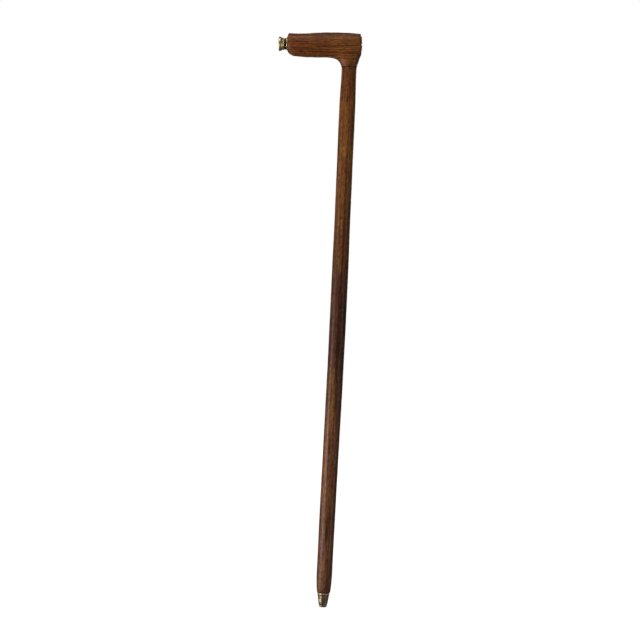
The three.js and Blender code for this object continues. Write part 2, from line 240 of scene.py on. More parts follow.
def turned(outline, sides, closed=False, wobble=None):
    """Points and faces of an outline turned about +Z. wobble takes a radius, a height and the angles, and
    gives the radius at each angle."""
    angles = np.linspace(0, 2 * math.pi, sides, endpoint=False)
    points, rows, faces = [], [], []
    for radius, height in outline:
        if radius < 1e-6:
            rows.append([len(points)] * sides)
            points.append((0, 0, height))
            continue
        rows.append(list(range(len(points), len(points) + sides)))
        r = np.full(sides, radius, float)
        if wobble:
            r = wobble(r, height, angles)
        points.extend(zip(r * np.cos(angles), r * np.sin(angles), np.full(sides, height)))
    pairs = list(zip(rows, rows[1:]))
    if closed:
        pairs.append((rows[-1], rows[0]))
    for low, high in pairs:
        for j in range(sides):
            k = (j + 1) % sides
            corners = [low[j], low[k], high[k], high[j]]
            faces.append([c for i, c in enumerate(corners) if c != corners[i - 1]])
    return np.array(points, float), outward(points, faces)


def outward(points, faces):
    """The same faces, all turned to face out."""
    p = np.asarray(points, float)
    volume = sum(np.dot(p[f[0]], np.cross(p[f[i]], p[f[i + 1]])) for f in faces for i in range(1, len(f) - 1))
    return faces if volume > 0 else [f[::-1] for f in faces]


def turn_again(node, name, place, material, body="cane", sides=96, edge=0.18, detail=None, wobble=None):
    """A turned CAD node made again with more sides and softened edges. detail may add to the outline."""
    outline, closed = outline_of(node, place)
    if detail:
        outline = detail(outline)
    points, faces = turned(soften(outline, closed, edge), sides, closed, wobble)
    return stand_for(add_piece(name, points, faces, place, material, body), node)


# ----------------------------------------------------------------------------------------------------------
# Node trees.


class Finish:
    """One material, with short calls to add the nodes behind its shader. Its grain or lathe axis is its
    frame's +Z."""

    def __init__(self, name, frame_of_grain):
        self.material = bpy.data.materials.new(name)
        self.material.use_nodes = True
        self.tree = self.material.node_tree
        self.shader = self.tree.nodes["Principled BSDF"]
        self.here = self.tree.nodes.new("ShaderNodeTexCoord").outputs["Object"]
        inward = frame_of_grain.inverted()
        self.grain = self.node("ShaderNodeMapping", {
            0: self.here, "Location": inward.to_translation(), "Rotation": inward.to_euler(),
        }).outputs[0]

    def node(self, kind, inputs, **settings):
        node = self.tree.nodes.new(kind)
        for key, value in settings.items():
            setattr(node, key, value)
        for key, value in inputs.items():
            self.feed(node.inputs[key], value)
        return node

    def feed(self, socket, value):
        if isinstance(value, bpy.types.NodeSocket):
            self.tree.links.new(value, socket)
        else:
            socket.default_value = value

    def set(self, **values):
        """Sets the shader's own sockets, whose names have spaces in place of underscores."""
        for key, value in values.items():
            self.feed(self.shader.inputs[key.replace("_", " ")], value)

    def place(self, scale, shift=(0, 0, 0), turn=(0, 0, 0)):
        """The grain's coordinates in millimetres, scaled, so that noise can be stretched along the grain."""
        inputs = {0: self.grain, "Location": shift, "Rotation": turn, "Scale": [s / MM for s in scale]}
        return self.node("ShaderNodeMapping", inputs).outputs[0]

    def axis(self, vector, index):
        """One coordinate of a vector: 0, 1 or 2."""
        return self.node("ShaderNodeSeparateXYZ", {0: vector}).outputs[index]

    def noise(self, vector, scale=1.0, detail=3.0, roughness=0.5, distortion=0.0):
        inputs = {
            "Vector": vector, "Scale": scale, "Detail": detail, "Roughness": roughness,
            "Distortion": distortion,
        }
        return self.node("ShaderNodeTexNoise", inputs).outputs[0]

    def levels(self, value, low, high, to_low=0.0, to_high=1.0):
        """A smooth step from to_low to to_high as the value goes from low to high."""
        inputs = {"Value": value, "From Min": low, "From Max": high, "To Min": to_low, "To Max": to_high}
        return self.node("ShaderNodeMapRange", inputs, interpolation_type="SMOOTHSTEP").outputs[0]

    def math(self, operation, a, b=0.0):
        return self.node("ShaderNodeMath", {0: a, 1: b}, operation=operation).outputs[0]

    def mix(self, share, a, b, blend="MIX"):
        node = self.node("ShaderNodeMix", {}, data_type="RGBA", blend_type=blend)
        for socket, value in ((node.inputs[0], share), (node.inputs[6], a), (node.inputs[7], b)):
            self.feed(socket, value)
        return node.outputs[2]

    def ramp(self, value, stops):
        node = self.node("ShaderNodeValToRGB", {0: value})
        elements = node.color_ramp.elements
        while len(elements) < len(stops):
            elements.new(0.5)
        for element, (position, color) in zip(elements, stops):
            element.position = position
            element.color = color
        return node.outputs[0]

    def bump(self, height, strength, distance_mm, under=None):
        inputs = {"Height": height, "Strength": strength, "Distance": distance_mm * MM}
        if under:
            inputs["Normal"] = under
        return self.node("ShaderNodeBump", inputs).outputs[0]


def tone(red, green, blue):
    """A colour from its screen values, 0 to 255."""
    linear = [((c / 255 + 0.055) / 1.055) ** 2.4 if c > 10 else c / 255 / 12.92 for c in (red, green, blue)]
    return (*linear, 1.0)


# ----------------------------------------------------------------------------------------------------------
# Materials.

RING_SPACING = 0.314  # of a wave texture's rings at scale 1
# Painted shade: the dark colour laid on the shaft's +X side, away from the key light, along a stretch.
SIDE_SHADE_WOOD = tone(36, 15, 7)
GOLD_PATCH = tone(138, 94, 26)
RED_PATCH = tone(108, 46, 18)
WARM_STREAK = tone(138, 80, 30)
FLECK = tone(38, 17, 7)
OPEN_PORE = tone(26, 11, 6)
SEAM_DIRT = tone(24, 12, 7)
# Painted shade, with tarnish: the draw tube where it lies deep in the gap behind the eyepiece.
GAP_SHADE_BRASS = tone(48, 34, 18)


def rosewood(name, place, pith, lean, ring_mm, zones, zone_range, streak, seed, flecks, dirt_heights,
             shade_stretch=None):
    """Oiled rosewood: growth rings round a leaning pith, dark streaks and flecks, gold and red patches, fine
    fibres and open pores. zones are [share, colour] along the grain over zone_range, in millimetres. Dirt
    lies at dirt_heights above the cane's tip. The last argument is a stretch along the grain whose +X side,
    away from the key light, is painted dark: painted shade."""
    f = Finish(name, place)
    ring_at = f.place((1, 1, 0.045), (*pith, seed), (*lean, 0))
    rings = f.node("ShaderNodeTexWave", {
        "Vector": ring_at, "Scale": RING_SPACING / ring_mm, "Distortion": 5.5, "Detail": 2.5,
        "Detail Scale": 0.35, "Detail Roughness": 0.55,
    }, wave_type="RINGS", rings_direction="Z", wave_profile="SAW").outputs["Fac"]
    late_wood = f.levels(rings, 0.45, 1.0)

    streaks = f.noise(f.place((0.34, 0.34, 0.011), (seed, 0, 3)), 1.0, 4.0, 0.6, 0.4)
    dark_streak = f.levels(streaks, 0.50, 0.62)
    warm_streak = f.levels(streaks, 0.44, 0.30)
    fibres = f.noise(f.place((2.6, 2.6, 0.07), (0, seed, 1)), 1.0, 3.0, 0.65)
    pores = f.noise(f.place((4.2, 4.2, 0.30), (1, seed, 5)), 1.0, 2.0, 0.5)
    pore = f.levels(pores, 0.58, 0.66)
    patches = f.noise(f.place((0.07, 0.07, 0.012), (seed, 7, 0)), 1.0, 2.0, 0.5)
    blots = f.noise(f.place((0.62, 0.62, 0.16), (seed, 2, 4)), 1.0, 3.0, 0.65, 0.5)
    fleck = f.levels(f.math("ADD", blots, f.levels(fibres, 0.25, 0.75, -0.10, 0.10)), 0.49, 0.66)

    low, high = zone_range
    across, along = (f.axis(f.place((1, 1, 1)), index) for index in (0, 2))
    wander = f.math("ADD", along, f.levels(patches, 0.0, 1.0, -30, 30))
    share = f.levels(wander, low, high)
    share.node.interpolation_type = "LINEAR"
    color = f.ramp(share, zones)
    # Painted shade: over the given stretch the +X side, away from the key light, is painted dark.
    if shade_stretch:
        starts, ends = f.levels(wander, shade_stretch[0], shade_stretch[0] + 40), f.levels(wander, shade_stretch[1], shade_stretch[1] - 40)
        stretch = f.math("MULTIPLY", starts, ends)
        side = f.levels(f.math("ADD", across, f.levels(streaks, 0.3, 0.7, -5, 5)), -7, 5)
        color = f.mix(f.math("MULTIPLY", stretch, f.math("MULTIPLY", side, 0.8)), color, SIDE_SHADE_WOOD)
    tints = f.noise(f.place((0.10, 0.10, 0.032), (3, seed, 9)), 1.0, 3.0, 0.6, 0.6)
    color = f.mix(f.levels(tints, 0.52, 0.64, 0.0, 0.38), color, GOLD_PATCH)
    color = f.mix(f.levels(tints, 0.48, 0.38, 0.0, 0.5), color, RED_PATCH)
    color = f.mix(f.math("MULTIPLY", late_wood, 0.68), color, streak)
    color = f.mix(f.math("MULTIPLY", dark_streak, 0.80), color, streak)
    color = f.mix(f.math("MULTIPLY", warm_streak, 0.35), color, WARM_STREAK)
    color = f.mix(f.math("MULTIPLY", fleck, flecks), color, FLECK)
    clouds = f.noise(f.place((0.42, 0.42, 0.15), (6, seed, 8)), 1.0, 3.0, 0.6, 0.3)
    mottle = f.levels(clouds, 0.36, 0.64, 0.75, 1.22)
    shade_fibres = f.math("MULTIPLY", f.levels(fibres, 0.3, 0.7, 0.70, 1.24), mottle)
    gray = f.node("ShaderNodeCombineColor", {0: shade_fibres, 1: shade_fibres, 2: shade_fibres}).outputs[0]
    color = f.mix(1.0, color, gray, "MULTIPLY")
    color = f.mix(f.math("MULTIPLY", pore, 0.75), color, OPEN_PORE)

    for dirt_height in dirt_heights:
        away = f.math("ABSOLUTE", f.math("SUBTRACT", f.math("DIVIDE", f.axis(f.here, 2), MM), dirt_height))
        ragged = f.math("ADD", away, f.levels(fibres, 0.3, 0.7, -0.3, 0.3))
        color = f.mix(f.levels(ragged, 1.3, 0.3, 0.0, 0.8), color, SEAM_DIRT)

    rough = f.levels(fibres, 0.3, 0.7, 0.48, 0.38)
    rough = f.math("ADD", rough, f.math("MULTIPLY", pore, 0.2))
    grain = f.bump(fibres, 0.25, 0.08)
    grain = f.bump(f.math("MULTIPLY", pore, -1.0), 0.5, 0.10, grain)
    f.set(Base_Color=color, Roughness=rough, Normal=grain, Coat_Weight=0.05, Coat_Roughness=0.3,
          Specular_IOR_Level=0.2)
    return f.material


def brass(name, place, tones, amount, seed, lines=1.0, base_roughness=0.26, dark_from=None):
    """Turned brass gone dull: fine lathe lines round +Z, cloudy tarnish, dark specks and rubbed scratches.
    tones are its bright, tarnished and dirty colours, and amount is how far the tarnish has gone. Past
    dark_from, in millimetres along +Z, it is painted nearly black: painted shade of the gap it lies in, with
    tarnish."""
    f = Finish(name, place)
    bright, tarnish, dirt = tones
    clouds = f.noise(f.place((0.16, 0.16, 0.16), (seed, 0, 0)), 1.0, 5.0, 0.6, 0.5)
    cloud = f.levels(clouds, 0.58 - amount * 0.3, 0.72 - amount * 0.2)
    specks = f.noise(f.place((1.1, 1.1, 1.1), (0, seed, 0)), 1.0, 3.0, 0.7)
    speck = f.levels(specks, 0.57, 0.68)
    lathe = f.noise(f.place((0.02, 0.02, 7.0), (0, 0, seed)), 1.0, 3.0, 0.7)
    scratches = f.noise(f.place((3.5, 3.5, 0.12), (seed, seed, 0)), 1.0, 2.0, 0.5, 0.3)
    scratch = f.levels(scratches, 0.62, 0.68)
    color = f.mix(cloud, bright, tarnish)
    color = f.mix(f.math("MULTIPLY", speck, 0.75), color, dirt)
    color = f.mix(f.math("MULTIPLY", scratch, 0.35), color, bright)
    rough = f.levels(clouds, 0.35, 0.7, base_roughness, base_roughness + 0.22)
    rough = f.math("ADD", rough, f.math("MULTIPLY", speck, 0.25))
    # Painted shade: past dark_from the brass is painted nearly black, for the gap it lies in, with tarnish.
    if dark_from is not None:
        ragged = f.math("ADD", f.axis(f.place((1, 1, 1)), 2), f.levels(clouds, 0.3, 0.7, -0.8, 0.8))
        color = f.mix(f.levels(ragged, dark_from, dark_from + 1.5), color, GAP_SHADE_BRASS)
    surface = f.bump(lathe, 0.22 * lines, 0.03)
    surface = f.bump(f.math("MULTIPLY", speck, -1.0), 0.35, 0.05, surface)
    metal = f.levels(speck, 0.0, 1.0, 1.0, 0.55)
    f.set(Base_Color=color, Metallic=metal, Roughness=rough, Normal=surface)
    return f.material


def worn_steel(name):
    """Steel worn by the ground: dark, pitted, with rust in the pits and bright rubbed spots."""
    f = Finish(name, CANE)
    pits = f.noise(f.place((0.9, 0.9, 0.9)), 1.0, 5.0, 0.65)
    pit = f.levels(pits, 0.54, 0.64)
    patches = f.noise(f.place((0.25, 0.25, 0.25), (5, 1, 2)), 1.0, 3.0, 0.6)
    rust = f.levels(patches, 0.56, 0.66)
    color = f.mix(f.levels(patches, 0.3, 0.6), tone(138, 134, 128), tone(178, 172, 164))
    color = f.mix(f.math("MULTIPLY", rust, 0.5), color, tone(84, 58, 42))
    color = f.mix(f.math("MULTIPLY", pit, 0.8), color, tone(34, 31, 29))
    rough = f.levels(pits, 0.4, 0.65, 0.36, 0.62)
    surface = f.bump(f.math("MULTIPLY", pit, -1.0), 0.6, 0.12)
    f.set(Base_Color=color, Metallic=f.levels(rust, 0.0, 1.0, 1.0, 0.5), Roughness=rough, Normal=surface)
    return f.material


def lens_glass(name):
    """Old coated glass with a trace of dust."""
    f = Finish(name, TELESCOPE)
    dust = f.noise(f.place((0.8, 0.8, 0.8)), 1.0, 4.0, 0.6)
    color = f.mix(f.levels(dust, 0.4, 0.7, 0.0, 0.25), tone(236, 244, 240), tone(214, 222, 206))
    f.set(Base_Color=color, Roughness=f.levels(dust, 0.45, 0.75, 0.02, 0.10), Transmission_Weight=1.0,
          IOR=1.52, Coat_Weight=0.3, Coat_Roughness=0.03)
    return f.material


def tube_black(name):
    """The black lining of the tube's inside."""
    f = Finish(name, TELESCOPE)
    soot = f.noise(f.place((0.7, 0.7, 0.2)), 1.0, 4.0, 0.6)
    color = f.mix(soot, tone(18, 16, 14), tone(40, 35, 28))
    f.set(Base_Color=color, Roughness=f.levels(soot, 0.3, 0.7, 0.65, 0.85))
    return f.material


SHAFT_ZONES = [
    (0.00, tone(106, 68, 48)), (0.16, tone(110, 70, 46)), (0.32, tone(122, 80, 42)), (0.46, tone(80, 46, 30)),
    (0.56, tone(74, 40, 20)), (0.66, tone(98, 54, 18)), (0.82, tone(124, 78, 24)), (1.00, tone(114, 64, 22)),
]
HANDLE_ZONES = [
    (0.0, tone(118, 72, 25)), (0.35, tone(122, 72, 24)), (0.75, tone(118, 64, 22)), (1.0, tone(118, 64, 34)),
]

shaft_low, shaft_high = span("shaft", CANE)
handle_back, handle_front = span("handle", TELESCOPE)
seam_height = (shaft_high + cad_points("handle", CANE)[:, 2].min()) / 2
ring_top = span("ferrule_ring", CANE)[1]

# From 350 to 520 mm up the shaft, its +X side gets painted shade.
shaft_wood = rosewood(
    "shaft_rosewood", CANE, (4, 34), (0.012, -0.02), 2.8, SHAFT_ZONES, (shaft_low, shaft_high),
    tone(54, 24, 10), seed=11, flecks=0.85, dirt_heights=(seam_height, ring_top), shade_stretch=(350, 520))
handle_wood = rosewood(
    "handle_rosewood", TELESCOPE, (-52, 20), (0.03, 0.02), 3.2, HANDLE_ZONES, (handle_back, handle_front),
    tone(62, 24, 8), seed=4, flecks=0.6, dirt_heights=(seam_height,))

AGED = tone(200, 186, 142), tone(136, 124, 84), tone(50, 44, 30)
DULL = tone(176, 164, 128), tone(100, 90, 58), tone(38, 32, 18)
POLISHED = tone(224, 206, 158), tone(170, 152, 106), tone(74, 64, 42)
DRAWN = tone(168, 142, 86), tone(112, 92, 52), tone(44, 35, 20)
INNER = tone(190, 160, 92), tone(150, 122, 64), tone(70, 54, 28)
PALE = tone(240, 216, 192), tone(214, 188, 162), tone(112, 90, 68)
aged_brass = brass("aged_brass", TELESCOPE, AGED, amount=0.55, seed=3, base_roughness=0.36)
rubbed_brass = brass("rubbed_brass", TELESCOPE, POLISHED, amount=0.35, seed=12)
ferrule_brass = brass("ferrule_brass", CANE, DULL, amount=0.75, seed=8, lines=1.3, base_roughness=0.34)
# The draw tube gets painted shade, with tarnish, from just inside the guide collar out to the eyepiece.
tube_brass = brass("tube_brass", TELESCOPE, DRAWN, amount=0.6, seed=5, lines=0.6, base_roughness=0.3,
                   dark_from=span("guide_collar", TELESCOPE)[1] - 2)
inner_brass = brass("inner_brass", TELESCOPE, INNER, amount=0.3, seed=6, base_roughness=0.34)
pale_brass = brass("pale_brass", CANE, PALE, amount=0.15, seed=9, lines=0.8, base_roughness=0.42)
steel = worn_steel("worn_steel")
glass = lens_glass("lens_glass")
blacking = tube_black("tube_blacking")

# ----------------------------------------------------------------------------------------------------------
# The handle: a squared oval bar and a flared neck, carved into one.

SECTION_POWER = 2.25
HALF_WIDTH = 15.1
NECK_ARC = 18.5
NECK_ARC_DROP = 3.4  # how far below the seam the neck's inner arc begins
NECK_ARC_END = 0.4  # how far short of level the arc stops
NECK_RADIUS = 12.1
NECK_TOP = 890
BORE_RADIUS = 10.6
FACE_SLOPE = 0.38  # of the dome that the front face makes outside the bore
FACE_FLAT = 0.4  # width of the flat ring round the bore
NECK_BLEND = 5.0  # how softly the bar and the neck run into each other
FRONT_EDGE_BLEND = 1.2
BACK_EDGE_BLEND = 0.9
FOOT_CHAMFER = 0.2
VOXEL = 0.55
MARGIN = 2.5  # of the voxel grid around the handle
SEAM_GAP = 0.05
STUD_HOLE_RADIUS = 4.3

# How the bar is rounded off at its ends: how much is taken off, over what length, and the power of its curve.
BACK_RIM = (2.6, 2.5, 2)
BACK_SIDE = (2.6, 4, 2)
FRONT_BOTTOM = (7.2, 9.5, 1.3)
FRONT_SIDE = (3.2, 6, 1.6)


def curve_through(*pairs):
    """A smooth value read off a curve through (place, value) pairs."""
    at, value = np.array(pairs, float).T
    slope = np.gradient(value, at)

    def read(x):
        x = np.clip(x, at[0], at[-1])
        i = np.clip(np.searchsorted(at, x) - 1, 0, len(at) - 2)
        width = at[i + 1] - at[i]
        t = (x - at[i]) / width
        start = (1 + 2 * t) * (1 - t) ** 2 * value[i] + t * (1 - t) ** 2 * width * slope[i]
        end = t * t * (3 - 2 * t) * value[i + 1] + t * t * (t - 1) * width * slope[i + 1]
        return start + end

    return read


# The bar's reach above and below the telescope's axis, by the distance along it.
bar_top = curve_through((-20, 15.8), (8, 17.8), (35, 18.2), (56, 17.6), (80, 16.4), (101, 17.1))
bar_bottom = curve_through(
    (-20, 18.8), (-5, 20.7), (20, 21.5), (60, 21.3), (80, 20.4), (90, 19.4), (101, 18.6))

# The neck's reach towards +X and its half width, by the height.
neck_outer = curve_through(
    (855, 12.1), (seam_height, 12.3), (864, 13.1), (870, 15.0), (875, 15.7), (892, 15.4))
neck_width = curve_through((855, 12.1), (seam_height, 12.4), (868, 12.9), (878, 13.2), (892, 13.0))


def taken_off(distance, rounding):
    """How much a rounded end takes off the bar at a distance from it."""
    amount, length, power = rounding
    left = 1 - np.clip(distance / length, 0, 1)
    return amount * (1 - (1 - left ** power) ** (1 / power))


def smooth_max(a, b, soft):
    """The greater of two values, with a soft change from one to the other where they are nearly the same."""
    share = np.clip(0.5 + 0.5 * (a - b) / soft, 0, 1)
    return b + (a - b) * share + soft * share * (1 - share)


def bar_field(x, y, z):
    """About the distance outside the bar, in millimetres, and below 0 inside it."""
    elbow = ELBOW.z / MM
    up = x * UP.x + (z - elbow) * UP.z
    along = x * OUT.x + (z - elbow) * OUT.z
    to_front = handle_front - along
    to_back = along - handle_back
    top = bar_top(along) - taken_off(to_back, BACK_RIM)
    bottom = bar_bottom(along) - taken_off(to_front, FRONT_BOTTOM) - taken_off(to_back, BACK_RIM)
    width = HALF_WIDTH - taken_off(to_front, FRONT_SIDE) - taken_off(to_back, BACK_SIDE)
    middle = (top - bottom) / 2
    tall = (top + bottom) / 2
    oval = (np.abs(up - middle) / tall) ** SECTION_POWER + (np.abs(y) / width) ** SECTION_POWER
    side = (oval ** (1 / SECTION_POWER) - 1) * width
    front_dome = FACE_SLOPE * np.maximum(np.hypot(up, y) - BORE_RADIUS - FACE_FLAT, 0)
    front_cut = smooth_max(side, front_dome - to_front, FRONT_EDGE_BLEND)
    return smooth_max(front_cut, -to_back, BACK_EDGE_BLEND)


def neck_field(x, y, z):
    """About the distance outside the neck, in millimetres, and below 0 inside it."""
    rise = np.clip(z - (seam_height - NECK_ARC_DROP), 0, NECK_ARC - NECK_ARC_END)
    inner = NECK_RADIUS + NECK_ARC - np.sqrt(NECK_ARC ** 2 - rise ** 2)
    reach = np.where(x > 0, neck_outer(z), inner)
    width = neck_width(z)
    side = (np.sqrt((x / reach) ** 2 + (y / width) ** 2) - 1) * width
    return np.maximum(side, z - NECK_TOP)


def tool_marks(x, y, z):
    """The slight unevenness that carving by hand leaves, in millimetres."""
    return 0.10 * np.sin(x / 7.3 + 1.1) * np.sin(y / 6.1 + z / 9.7) + 0.06 * np.sin(x / 3.1 + z / 4.3)


def carve_handle():
    """The handle as one closed, smoothed surface round its field, with the bore and the stud's hole."""
    foot = seam_height + SEAM_GAP
    low = np.array(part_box("handle")[0]) / MM - MARGIN
    high = np.array(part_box("handle")[1]) / MM + MARGIN
    axes = [np.arange(a, b, VOXEL) for a, b in zip(low, high)]
    x, y, z = np.meshgrid(*axes, indexing="ij")
    carved = -smooth_max(-bar_field(x, y, z), -neck_field(x, y, z), NECK_BLEND)
    carved += tool_marks(x, y, z)
    edge = (carved + (foot - z) + FOOT_CHAMFER) * math.sqrt(0.5)
    carved = np.maximum(np.maximum(carved, foot - z), edge)
    grid = openvdb.FloatGrid(10.0)
    grid.copyFromArray(carved.astype(np.float32))
    points, quads = grid.convertToQuads(0.0)
    points = points * VOXEL + low
    handle = add_piece("handle_carved", points, outward_by_sample(points, quads), CANE, handle_wood)
    smooth = handle.modifiers.new("smooth", "SMOOTH")
    smooth.factor = 0.5
    smooth.iterations = 3
    bake_modifiers(handle)
    cut_away(handle, cutter_rod(TELESCOPE, BORE_RADIUS, handle_back - 5, handle_front + 5))
    stud_top = span("neck_stud", CANE)[1]
    cut_away(handle, cutter_rod(CANE, STUD_HOLE_RADIUS, seam_height - 3, stud_top + 1, 32))
    shade(handle, 40)
    return stand_for(handle, "handle")


def outward_by_sample(points, faces):
    """The same quads, all facing out, told by the sign of their whole volume."""
    a, b, c, d = (points[faces[:, i]] for i in range(4))
    volume = np.einsum("ij,ij->", a, np.cross(b, c)) + np.einsum("ij,ij->", a, np.cross(c, d))
    return faces if volume > 0 else faces[:, ::-1]


# ----------------------------------------------------------------------------------------------------------
# The shaft, turned by hand: its radius and bow follow the CAD shaft's rings.

SHAFT_LEAST_RADIUS = 9  # a ring with less belongs to the tenon
TENON_RADII = (5, 8.5)
RINGS_ALONG_SHAFT = 330
SHANK_HOLE_RADIUS = 2.3

# How the shaft's two edges are eased: how far each point is inside the edge's radius, and from its height.
SHOULDER_EASING = ((0.7, 0.0), (0.25, 0.15))
TOP_EASING = ((0.05, 0.15), (0.2, 0.0))


def shaft_rings():
    """Height, radius and sideways shift of each ring of the CAD shaft's outside, in millimetres."""
    points = cad_points("shaft", CANE)
    rows = {}
    for x, y, z in points:
        rows.setdefault(round(z, 1), []).append((x, y))
    rings = []
    for height, row in sorted(rows.items()):
        row = np.array(row)
        shift = (row[:, 0].min() + row[:, 0].max()) / 2
        radius = np.hypot(row[:, 0] - shift, row[:, 1]).max()
        if radius > SHAFT_LEAST_RADIUS:
            rings.append((height, radius, shift))
    return rings


def hand_ripple(height):
    """What hand turning adds to the shaft's radius, in millimetres."""
    long_waves = 0.05 * math.sin(height / 17 + 0.4) + 0.04 * math.sin(height / 41 + 2.0)
    return long_waves + 0.02 * math.sin(height / 6.3)


def turn_shaft():
    """The tenon, the bowed taper and the eased top, with the holes for the stud and the steel tip's shank."""
    rings = shaft_rings()
    heights = [ring[0] for ring in rings]
    shoulder_height = heights[0]
    top = seam_height - SEAM_GAP
    radius_at = curve_through(*[(h, r) for h, r, _ in rings[1:-1]])
    shift_at = curve_through(*[(h, s) for h, _, s in rings])
    tenon, _ = outline_of("shaft", CANE, 0.5 * math.pi)
    least, most = TENON_RADII
    tenon = [(r, h) for r, h in tenon if h <= shoulder_height and least < r < most]
    tenon.sort(key=lambda point: point[1])
    outline = [(0, tenon[0][1])] + tenon
    shoulder_radius = radius_at(shoulder_height)
    outline += [(shoulder_radius - inset, shoulder_height + rise) for inset, rise in SHOULDER_EASING]
    for h in np.linspace(shoulder_height + 0.6, top - 0.4, RINGS_ALONG_SHAFT):
        outline.append((radius_at(h) + hand_ripple(h), h))
    outline += [(radius_at(top) - inset, top - drop) for inset, drop in TOP_EASING]
    outline.append((0, top))

    def out_of_round(r, height, angles):
        return r + 0.07 * np.cos(2 * angles + height / 90) + 0.04 * np.cos(3 * angles - height / 60)

    points, faces = turned(outline, 96, False, out_of_round)
    points[:, 0] += shift_at(points[:, 2])
    shaft = add_piece("shaft_turned", points, faces, CANE, shaft_wood)
    stud_low = span("neck_stud", CANE)[0]
    cut_away(shaft, cutter_rod(CANE, STUD_HOLE_RADIUS, stud_low - 1, top + 2, 32))
    shank_high = span("steel_tip", CANE)[1]
    cut_away(shaft, cutter_rod(CANE, SHANK_HOLE_RADIUS, tenon[0][1] - 2, shank_high + 1, 24))
    shade(shaft, 40)
    return stand_for(shaft, "shaft")


# ----------------------------------------------------------------------------------------------------------
# The brass and the lenses.

GROOVED_WALL = 6.7  # the least radius of the ferrule's outer wall
GROOVE_STEP = 3.2
GROOVE_DEPTH = 0.4
GROOVE_HALF_WIDTH = 0.8
KNURLS = 64
KNURL_DEPTH = 0.22
MILLED_BAND = (8.6, 7.2)  # where the eyepiece's milled bead begins and ends, from its outer end
BEAD_RADIUS = 9  # what lies outside this radius in the band is milled
BEAD_WALL = 9.7  # an edge of the cup's outline outside this radius gets more points,
BEAD_WALL_LENGTH = 0.9  # if it is longer than this along the axis,
BEAD_ROWS = (0.08, 0.5, 0.92)  # at these shares of its length
COLLAR_SLOT = 1.0
WORN_HEIGHT = 2.5  # of the steel foot above the ground


def turn_ferrule():
    """Cup, ring and tip. The cup has fine turned grooves, and use has dented it a little."""
    low, high = span("ferrule", CANE)

    grooves = np.arange(low + GROOVE_STEP, high - 1, GROOVE_STEP)
    marks = np.concatenate([grooves - GROOVE_HALF_WIDTH, grooves, grooves + GROOVE_HALF_WIDTH])

    def depth(height):
        return GROOVE_DEPTH * max(0.0, 1 - np.abs(grooves - height).min() / GROOVE_HALF_WIDTH)

    def grooved(outline):
        """The same outline with grooves cut into its outer wall."""
        dense = []
        for a, b in zip(outline, outline[1:] + outline[:1]):
            dense.append(a)
            rise = b[1] - a[1]
            if min(a[0], b[0]) > GROOVED_WALL and rise:
                shares = [t for t in np.sort((marks - a[1]) / rise) if 0.001 < t < 0.999]
                dense += [(a[0] + (b[0] - a[0]) * t, a[1] + rise * t) for t in shares]
        return [(r - depth(h) if r > GROOVED_WALL else r, h) for r, h in dense]

    def dents(r, height, angles):
        wide = np.clip(np.sin(3 * angles + height * 0.7), 0, 1) ** 3
        narrow = np.clip(np.sin(5 * angles - height * 1.1 + 2), 0, 1) ** 4
        return r - 0.05 * wide - 0.04 * narrow

    turn_again("ferrule", "ferrule_cup", CANE, ferrule_brass, sides=128, edge=0.25, detail=grooved,
               wobble=dents)
    turn_again("ferrule_ring", "ferrule_band", CANE, pale_brass, sides=128, edge=0.3)

    def worn(r, height, angles):
        wear = max(0.0, 1 - height / WORN_HEIGHT)
        return r - wear * 0.12 * (1 + np.sin(2 * angles + 0.7))

    turn_again("steel_tip", "steel_foot", CANE, steel, sides=96, edge=0.4, wobble=worn)


def turn_eyepiece():
    """The flared cup, with a milled bead behind the flare to pull it by."""
    high = span("eyepiece_cup", TELESCOPE)[1]
    bead_low, bead_high = (high - below for below in MILLED_BAND)

    def milled(r, height, angles):
        if not bead_low <= height <= bead_high:
            return r
        tooth = np.abs(np.sin(angles * KNURLS / 2))
        return np.where(r > BEAD_RADIUS, r - KNURL_DEPTH * (1 - tooth), r)

    def bead(outline):
        """More points across the bead's band, so that the milling has rows to stand on."""
        dense = []
        for a, b in zip(outline, outline[1:] + outline[:1]):
            dense.append(a)
            if min(a[0], b[0]) > BEAD_WALL and abs(a[1] - b[1]) > BEAD_WALL_LENGTH:
                dense += [tuple(np.array(a) + (np.array(b) - np.array(a)) * t) for t in BEAD_ROWS]
        return dense

    turn_again("eyepiece_cup", "eyepiece_cup_fine", TELESCOPE, aged_brass, "draw", KNURLS * 4, 0.15,
               detail=bead, wobble=milled)
    turn_again("eye_lens", "eye_lens_fine", TELESCOPE, glass, "draw", 64, 0.1)
    turn_again("eye_lens_ring", "eye_lens_ring_fine", TELESCOPE, inner_brass, "draw", 64, 0.1)


def turn_tubes():
    turn_again("draw_tube", "draw_tube_fine", TELESCOPE, tube_brass, "draw", 128, 0.12)
    turn_again("main_tube", "main_tube_fine", TELESCOPE, blacking, "cane", 96, 0.12)
    collar = turn_again("guide_collar", "guide_collar_fine", TELESCOPE, rubbed_brass, "cane", 128, 0.2)
    low = span("guide_collar", TELESCOPE)[0]
    length = span("main_tube", TELESCOPE)[1] - low - 1
    middle = low - 0.5 + length / 2
    for turn in (0.25 * math.pi, 0.75 * math.pi):
        cut_away(collar, cutter_box(TELESCOPE, (42, COLLAR_SLOT, length), (0, 0, middle), turn))
    shade(collar)


def turn_objective():
    turn_again("objective_bezel", "objective_bezel_fine", TELESCOPE, rubbed_brass, "cane", 128, 0.2)
    turn_again("objective_lens", "objective_lens_fine", TELESCOPE, glass, "cane", 96, 0.1)
    turn_again("objective_ring", "objective_ring_fine", TELESCOPE, blacking, "cane", 96, 0.12)


